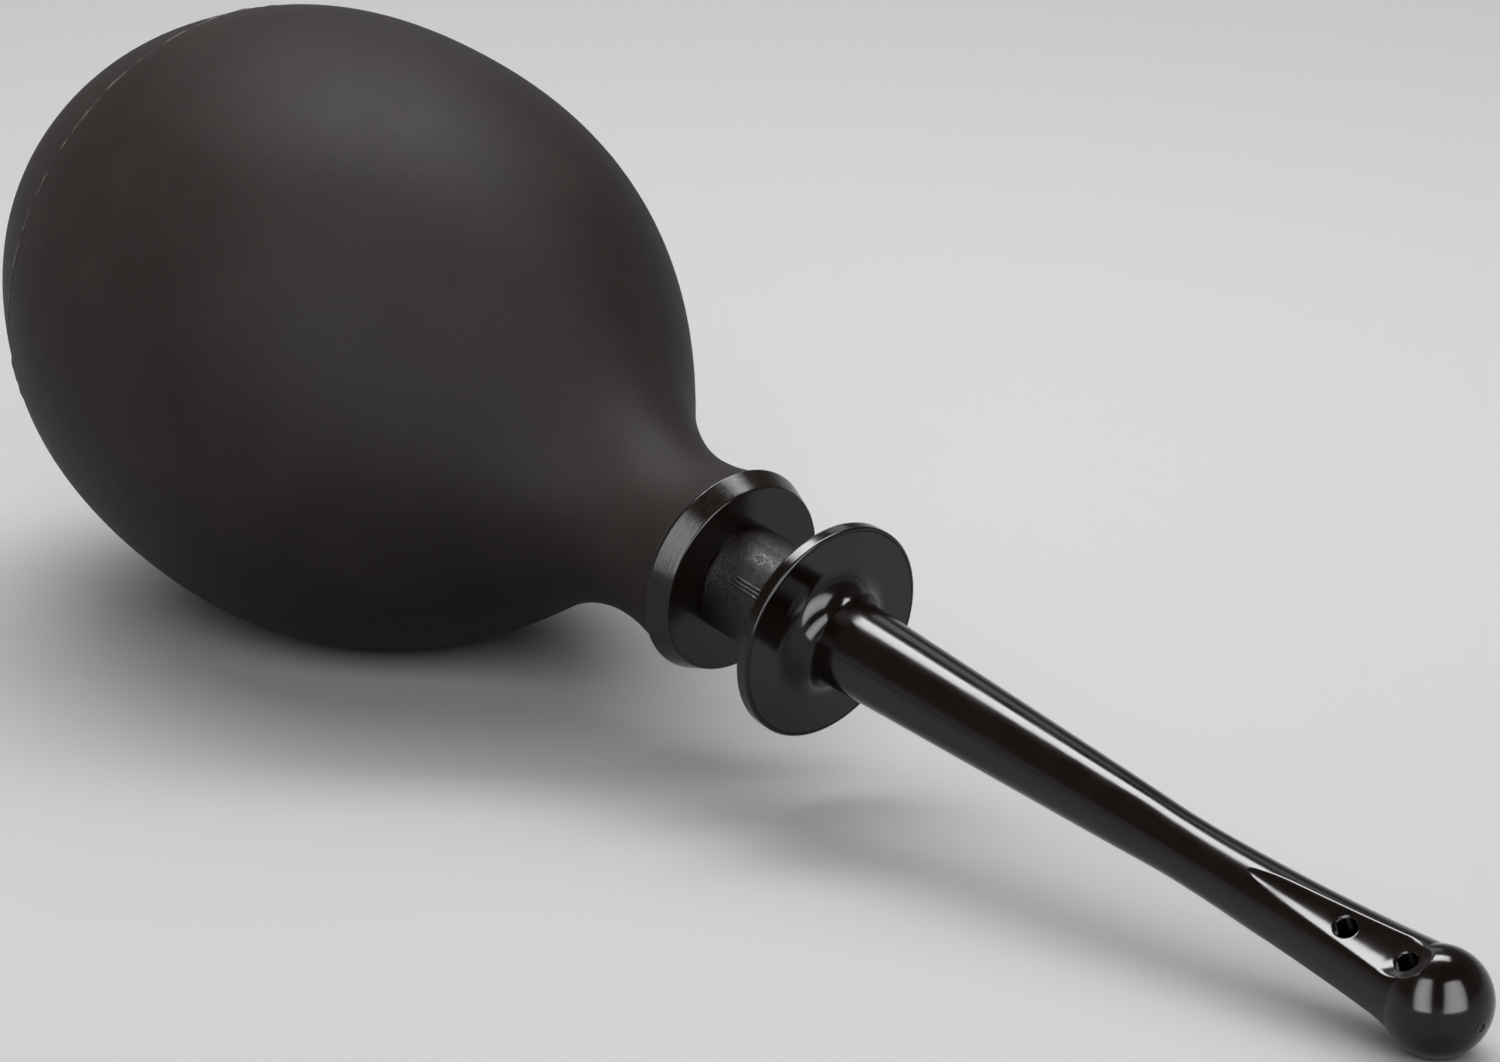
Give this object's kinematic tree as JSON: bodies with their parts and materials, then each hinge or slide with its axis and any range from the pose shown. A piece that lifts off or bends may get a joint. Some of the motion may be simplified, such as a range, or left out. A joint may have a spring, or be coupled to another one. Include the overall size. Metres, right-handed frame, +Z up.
{
  "type": "bulb syringe",
  "caption": "Squeeze bulb syringe: soft hollow bulb, bevelled neck coupling with a short tube, and a pull-off flanged nozzle with a fluted ball tip.",
  "frame": {"origin": "on the table under the middle of the part's box, as it lies on the bulb's belly and the nozzle's ball tip", "axes": "+Z up, +X from the bulb towards the nozzle's tip, whose axis dips 10 degrees below +X, +Y to the left of the nozzle"},
  "size_m": [0.2674, 0.0878, 0.0885],
  "materials": {
    "bulb_rubber": "soft matt, warm charcoal",
    "coupling_plastic": "satin with a fine spark-eroded grain on the tube",
    "seal_rubber": "matt",
    "nozzle_plastic": "polished black"
  },
  "bodies": {
    "bulb": {"bulb_body": "bulb_rubber"},
    "rear_dome": {"bulb_rear_dome": "bulb_rubber"},
    "coupling": {"neck_coupling": "coupling_plastic"},
    "seal": {"seal_ring": "seal_rubber"},
    "nozzle": {"nozzle": "nozzle_plastic"}
  },
  "joints": [
    {"name": "rear_press", "type": "slide", "parent": "bulb", "child": "rear_dome", "axis": [0.9826, -0.01, -0.1856], "range_m": [0, 0.028], "stiffness_N_per_m": 500},
    {"name": "coupling_pull", "type": "slide", "parent": "bulb", "child": "coupling", "axis": [0.9852, 0, -0.1715], "range_m": [0, 0.026]},
    {"name": "nozzle_pull", "type": "slide", "parent": "coupling", "child": "seal", "axis": [0.9852, 0, -0.1715], "range_m": [0, 0.016]},
    {"name": "nozzle_turn", "type": "hinge", "parent": "seal", "child": "nozzle", "pos_m": [0.0158, -0.00079, 0.0262], "axis": [0.9852, 0, -0.1715], "continuous": true}
  ]
}
